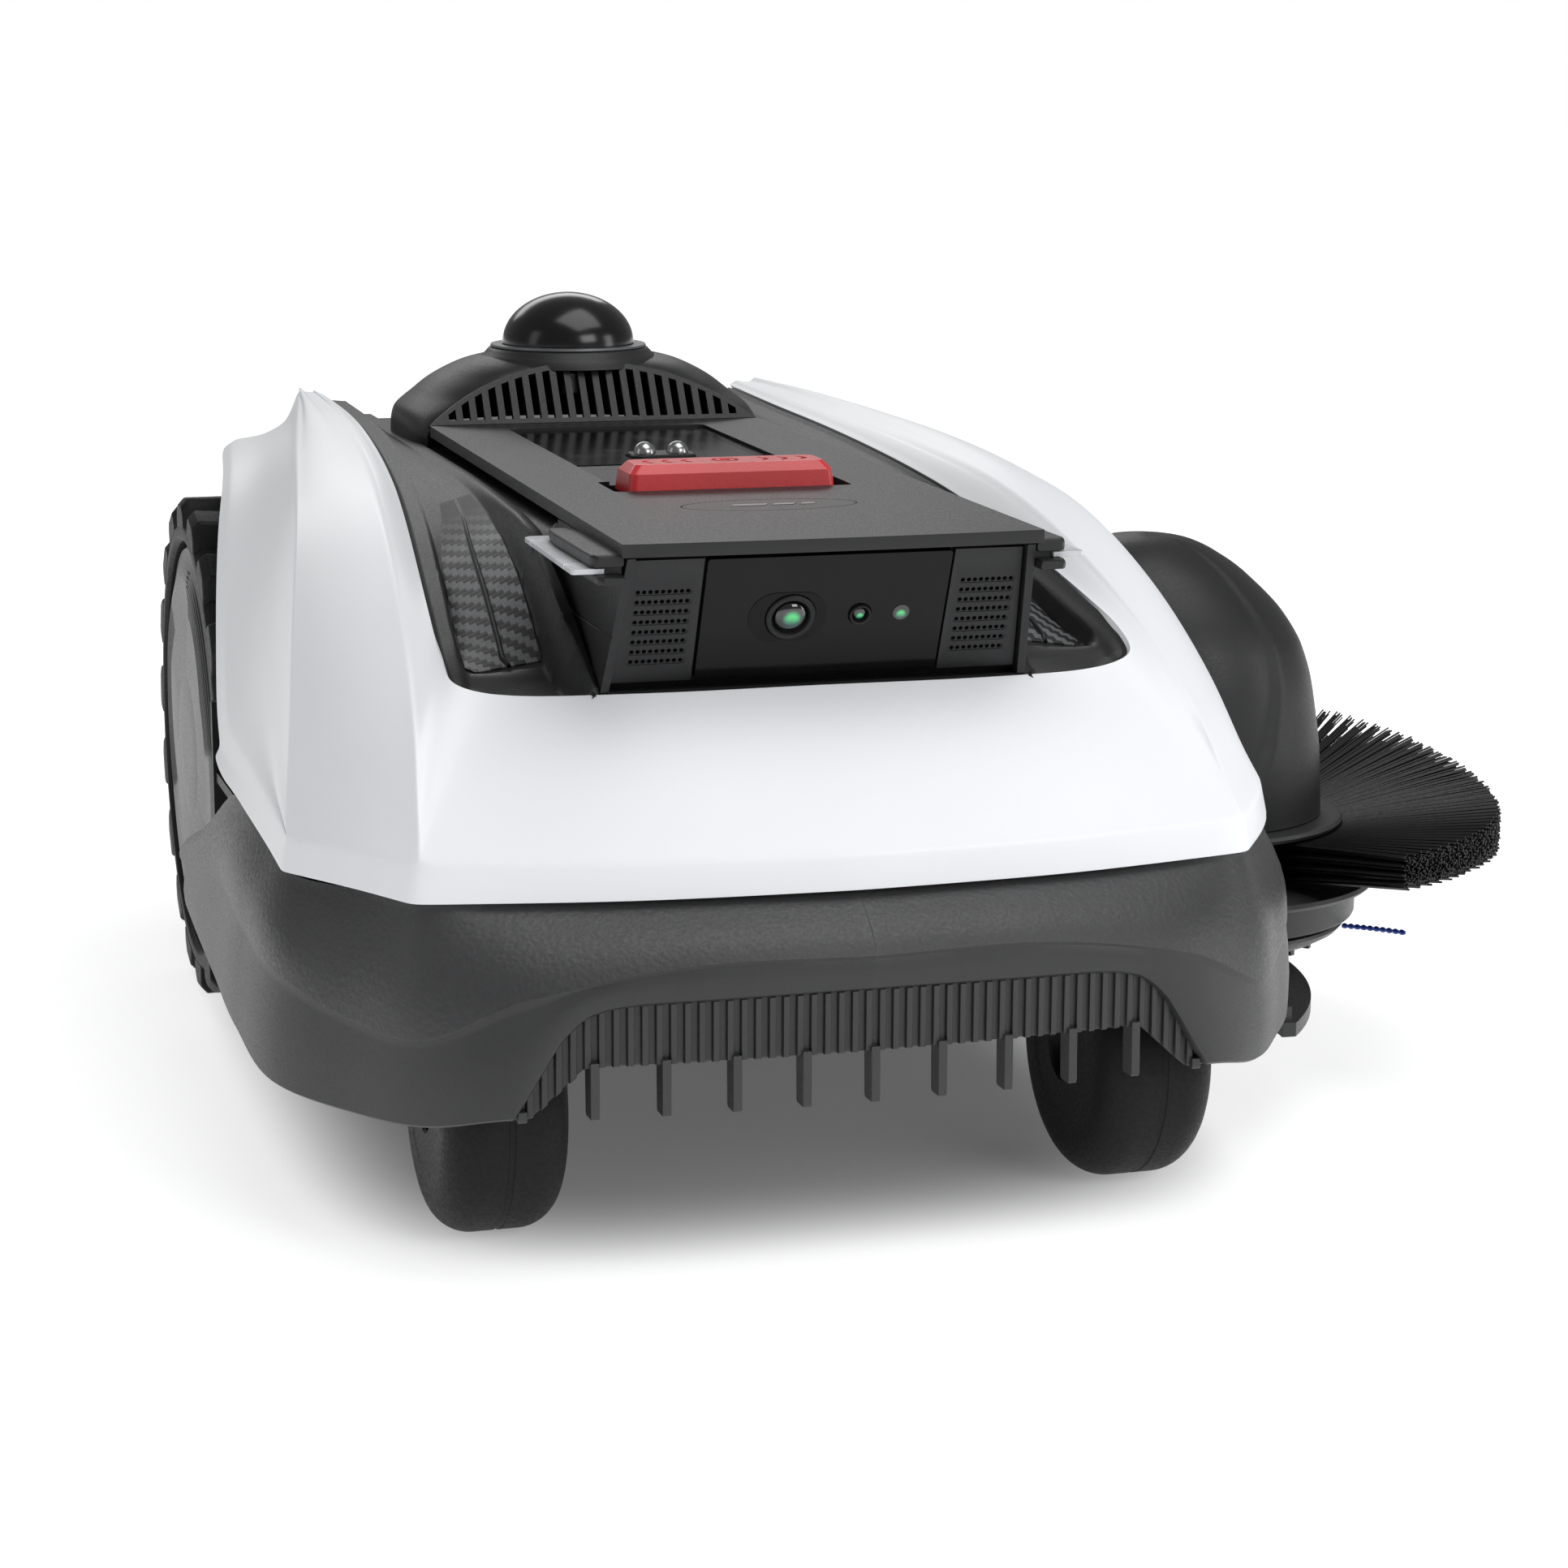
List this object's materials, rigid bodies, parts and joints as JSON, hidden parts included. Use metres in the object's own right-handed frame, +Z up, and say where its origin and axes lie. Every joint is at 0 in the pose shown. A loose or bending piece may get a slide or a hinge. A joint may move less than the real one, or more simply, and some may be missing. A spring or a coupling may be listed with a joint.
{
  "type": "robotic lawn mower",
  "caption": "Robotic lawn mower with white shell, black hood, camera head, dome scanner, lugged drive wheels, front casters and a side-mounted edge trimmer.",
  "frame": {"origin": "on the lawn surface, under the middle of the whole machine's bounding box, trimmer and brush included", "axes": "+Z up, -Y is the way the mower drives, +X is its right-hand side as seen by someone facing its camera's back, where the trimmer is"},
  "size_m": [0.5284, 0.5464, 0.2977],
  "materials": {
    "shell_white": "satin",
    "body_black": "satin",
    "skirt_grey": "fine leather grain",
    "gloss_black": "gloss",
    "dome_black": "high gloss",
    "lens_glass": "coated",
    "light_clear": "clear lens",
    "carbon_weave": "twill weave",
    "sensor_steel": "polished",
    "stop_red": "satin",
    "wheel_plastic": "satin",
    "tyre_black": "matt",
    "motor_metal": "satin",
    "deck_plastic": "satin",
    "blade_steel": "ground",
    "bristle_black": "bristle tufts",
    "line_blue": "twisted nylon",
    "battery_case": "satin",
    "board_green": "solder mask"
  },
  "bodies": {
    "base": {"chassis": "body_black", "front_skirt": "skirt_grey", "front_comb": "skirt_grey", "white_cover": "shell_white", "top_deck": "body_black", "hood_plate": "body_black", "key_panel": "body_black", "display_glass": "gloss_black", "rain_sensor": "sensor_steel", "head_housing": "body_black", "camera_window": "gloss_black", "camera_lens": "lens_glass", "sensor_lens": "lens_glass", "speaker_grille_left": "body_black", "speaker_grille_right": "body_black", "light_wing_left": "light_clear", "light_wing_right": "light_clear", "carbon_inlay_left": "carbon_weave", "carbon_inlay_right": "carbon_weave", "vent_grille": "body_black", "lidar_turret": "body_black", "lidar_ring": "sensor_steel", "lidar_dome": "dome_black", "battery_pack": "battery_case", "main_board": "board_green", "charging_socket": "sensor_steel", "drive_motor_left": "motor_metal", "drive_motor_right": "motor_metal", "trimmer_housing": "body_black", "trimmer_frame": "skirt_grey", "trimmer_motor": "motor_metal", "brush_ring": "bristle_black", "line_guard": "body_black"},
    "drive_left": {"drive_wheel_left": "wheel_plastic", "tyre_left": "tyre_black", "hub_cap_left": "skirt_grey"},
    "swivel_left": {"caster_arm_left": "wheel_plastic"},
    "roller_left": {"caster_wheel_left": "tyre_black"},
    "drive_right": {"drive_wheel_right": "wheel_plastic", "tyre_right": "tyre_black", "hub_cap_right": "skirt_grey"},
    "swivel_right": {"caster_arm_right": "wheel_plastic"},
    "roller_right": {"caster_wheel_right": "tyre_black"},
    "deck": {"deck_carrier": "deck_plastic", "blade_motor_left": "motor_metal", "blade_motor_right": "motor_metal"},
    "disc_left": {"blade_disc_left": "deck_plastic"},
    "knife_left_1": {"blade_left_1": "blade_steel"},
    "knife_left_2": {"blade_left_2": "blade_steel"},
    "knife_left_3": {"blade_left_3": "blade_steel"},
    "disc_right": {"blade_disc_right": "deck_plastic"},
    "knife_right_1": {"blade_right_1": "blade_steel"},
    "knife_right_2": {"blade_right_2": "blade_steel"},
    "knife_right_3": {"blade_right_3": "blade_steel"},
    "stop_bar": {"stop_button": "stop_red"},
    "start_button": {"start_key": "body_black"},
    "home_button": {"home_key": "body_black"},
    "scanner": {"lidar_rotor": "motor_metal"},
    "trimmer_head": {"spool_head": "skirt_grey", "trim_line": "line_blue"}
  },
  "joints": [
    {"name": "drive_spin_left", "type": "hinge", "parent": "base", "child": "drive_left", "pos_m": [-0.21765, 0.14866, 0.1075], "axis": [1, 0, 0], "continuous": true},
    {"name": "caster_swivel_left", "type": "hinge", "parent": "base", "child": "swivel_left", "pos_m": [-0.18566, -0.18034, 0.11], "axis": [0, 0, 1], "continuous": true},
    {"name": "caster_roll_left", "type": "hinge", "parent": "swivel_left", "child": "roller_left", "pos_m": [-0.18566, -0.19434, 0.048], "axis": [1, 0, 0], "continuous": true},
    {"name": "drive_spin_right", "type": "hinge", "parent": "base", "child": "drive_right", "pos_m": [0.08235, 0.14866, 0.1075], "axis": [1, 0, 0], "continuous": true},
    {"name": "caster_swivel_right", "type": "hinge", "parent": "base", "child": "swivel_right", "pos_m": [0.05035, -0.18034, 0.11], "axis": [0, 0, 1], "continuous": true},
    {"name": "caster_roll_right", "type": "hinge", "parent": "swivel_right", "child": "roller_right", "pos_m": [0.05035, -0.19434, 0.048], "axis": [1, 0, 0], "continuous": true},
    {"name": "cutting_height", "type": "slide", "parent": "base", "child": "deck", "axis": [0, 0, 1], "range_m": [-0.018, 0.007]},
    {"name": "disc_spin_left", "type": "hinge", "parent": "deck", "child": "disc_left", "pos_m": [-0.14566, -0.03434, 0.045], "axis": [0, 0, 1], "continuous": true},
    {"name": "blade_pivot_left_1", "type": "hinge", "parent": "disc_left", "child": "knife_left_1", "pos_m": [-0.10365, -0.03434, 0.04], "axis": [0, 0, 1], "continuous": true},
    {"name": "blade_pivot_left_2", "type": "hinge", "parent": "disc_left", "child": "knife_left_2", "pos_m": [-0.16665, 0.00204, 0.04], "axis": [0, 0, 1], "continuous": true},
    {"name": "blade_pivot_left_3", "type": "hinge", "parent": "disc_left", "child": "knife_left_3", "pos_m": [-0.16666, -0.07071, 0.04], "axis": [0, 0, 1], "continuous": true},
    {"name": "disc_spin_right", "type": "hinge", "parent": "deck", "child": "disc_right", "pos_m": [0.01034, -0.03434, 0.045], "axis": [0, 0, 1], "continuous": true},
    {"name": "blade_pivot_right_1", "type": "hinge", "parent": "disc_right", "child": "knife_right_1", "pos_m": [0.05234, -0.03434, 0.04], "axis": [0, 0, 1], "continuous": true},
    {"name": "blade_pivot_right_2", "type": "hinge", "parent": "disc_right", "child": "knife_right_2", "pos_m": [-0.01065, 0.00204, 0.04], "axis": [0, 0, 1], "continuous": true},
    {"name": "blade_pivot_right_3", "type": "hinge", "parent": "disc_right", "child": "knife_right_3", "pos_m": [-0.01066, -0.07071, 0.04], "axis": [0, 0, 1], "continuous": true},
    {"name": "stop_press", "type": "slide", "parent": "base", "child": "stop_bar", "axis": [0, 0.0079, -1], "range_m": [0, 0.004], "stiffness_N_per_m": 700, "springref_m": -0.003},
    {"name": "start_press", "type": "slide", "parent": "base", "child": "start_button", "axis": [0, 0.0079, -1], "range_m": [0, 0.0012], "stiffness_N_per_m": 600, "springref_m": -0.001},
    {"name": "home_press", "type": "slide", "parent": "base", "child": "home_button", "axis": [0, 0.0079, -1], "range_m": [0, 0.0012], "stiffness_N_per_m": 600, "springref_m": -0.001},
    {"name": "lidar_spin", "type": "hinge", "parent": "base", "child": "scanner", "pos_m": [-0.06766, 0.18216, 0.28], "axis": [0, 0, 1], "continuous": true},
    {"name": "trimmer_spin", "type": "hinge", "parent": "base", "child": "trimmer_head", "pos_m": [0.13634, -0.04934, 0.057], "axis": [0, 0, 1], "continuous": true}
  ]
}
